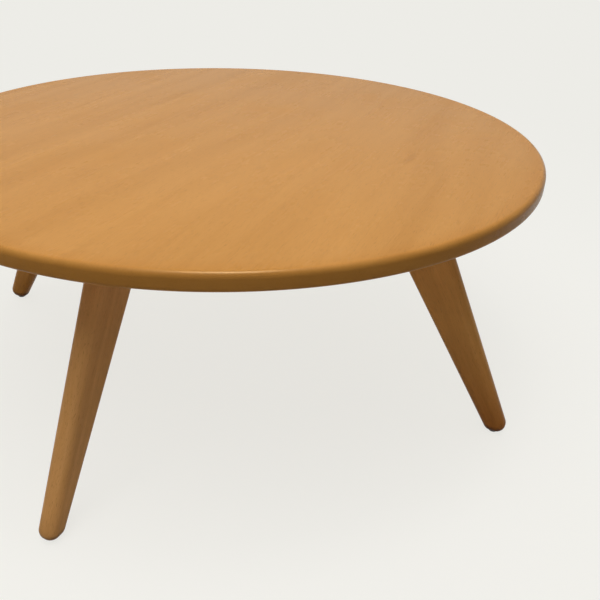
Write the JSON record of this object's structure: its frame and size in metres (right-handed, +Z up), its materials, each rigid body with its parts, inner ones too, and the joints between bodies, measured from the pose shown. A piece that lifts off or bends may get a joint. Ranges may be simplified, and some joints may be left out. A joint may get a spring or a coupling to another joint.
{
  "type": "folding low table",
  "caption": "Round wooden low table on splayed tapered plank legs that swing in on pivot pins and fold up under the top.",
  "frame": {"origin": "on the floor, under the middle of the round top", "axes": "+Z up; +X to the user's right and -Y towards the front; the legs stand on the diagonals"},
  "size_m": [0.7999, 0.8, 0.345],
  "materials": {
    "top_wood": "satin clear lacquer over honey-coloured close-grained wood",
    "leg_wood": "satin clear lacquer, grain along the leg",
    "glide": "dark matte glide",
    "fibre": "pressed brown fibre",
    "brass": "plain turned brass",
    "zinc_steel": "zinc-plated pressed steel",
    "screw_steel": "zinc-plated screw",
    "pin_steel": "bright drawn steel",
    "spring_steel": "blued spring steel",
    "nylon": "natural nylon",
    "bumper_rubber": "black rubber"
  },
  "bodies": {
    "table": {"tabletop": "top_wood", "fold_bumpers": "bumper_rubber", "front_left_hinge_brackets": "zinc_steel", "front_left_bracket_screws": "screw_steel", "front_left_pivot_pin": "pin_steel", "front_left_pivot_washers": "nylon", "front_left_latch_spring": "spring_steel", "front_left_latch_screws": "screw_steel", "front_right_hinge_brackets": "zinc_steel", "front_right_bracket_screws": "screw_steel", "front_right_pivot_pin": "pin_steel", "front_right_pivot_washers": "nylon", "front_right_latch_spring": "spring_steel", "front_right_latch_screws": "screw_steel", "back_right_hinge_brackets": "zinc_steel", "back_right_bracket_screws": "screw_steel", "back_right_pivot_pin": "pin_steel", "back_right_pivot_washers": "nylon", "back_right_latch_spring": "spring_steel", "back_right_latch_screws": "screw_steel", "back_left_hinge_brackets": "zinc_steel", "back_left_bracket_screws": "screw_steel", "back_left_pivot_pin": "pin_steel", "back_left_pivot_washers": "nylon", "back_left_latch_spring": "spring_steel", "back_left_latch_screws": "screw_steel"},
    "front_left_leg": {"front_left_leg": "leg_wood", "front_left_foot_pad": "glide", "front_left_seat_pad": "fibre", "front_left_pivot_bush": "brass", "front_left_strike_plate": "zinc_steel", "front_left_strike_screws": "screw_steel"},
    "front_right_leg": {"front_right_leg": "leg_wood", "front_right_foot_pad": "glide", "front_right_seat_pad": "fibre", "front_right_pivot_bush": "brass", "front_right_strike_plate": "zinc_steel", "front_right_strike_screws": "screw_steel"},
    "back_right_leg": {"back_right_leg": "leg_wood", "back_right_foot_pad": "glide", "back_right_seat_pad": "fibre", "back_right_pivot_bush": "brass", "back_right_strike_plate": "zinc_steel", "back_right_strike_screws": "screw_steel"},
    "back_left_leg": {"back_left_leg": "leg_wood", "back_left_foot_pad": "glide", "back_left_seat_pad": "fibre", "back_left_pivot_bush": "brass", "back_left_strike_plate": "zinc_steel", "back_left_strike_screws": "screw_steel"}
  },
  "joints": [
    {"name": "front_left_fold", "type": "hinge", "parent": "table", "child": "front_left_leg", "pos_m": [-0.14232, -0.16071, 0.3075], "axis": [0.7071, -0.7071, 0], "range_deg": [0, 122.35], "deforming": ["front_left_latch_spring"]},
    {"name": "front_right_fold", "type": "hinge", "parent": "table", "child": "front_right_leg", "pos_m": [0.16071, -0.14232, 0.3075], "axis": [0.7071, 0.7071, 0], "range_deg": [0, 106.5], "deforming": ["front_right_latch_spring"]},
    {"name": "back_right_fold", "type": "hinge", "parent": "table", "child": "back_right_leg", "pos_m": [0.14232, 0.16071, 0.3075], "axis": [-0.7071, 0.7071, 0], "range_deg": [0, 122.35], "deforming": ["back_right_latch_spring"]},
    {"name": "back_left_fold", "type": "hinge", "parent": "table", "child": "back_left_leg", "pos_m": [-0.16071, 0.14232, 0.3075], "axis": [-0.7071, -0.7071, 0], "range_deg": [0, 106.5], "deforming": ["back_left_latch_spring"]}
  ]
}
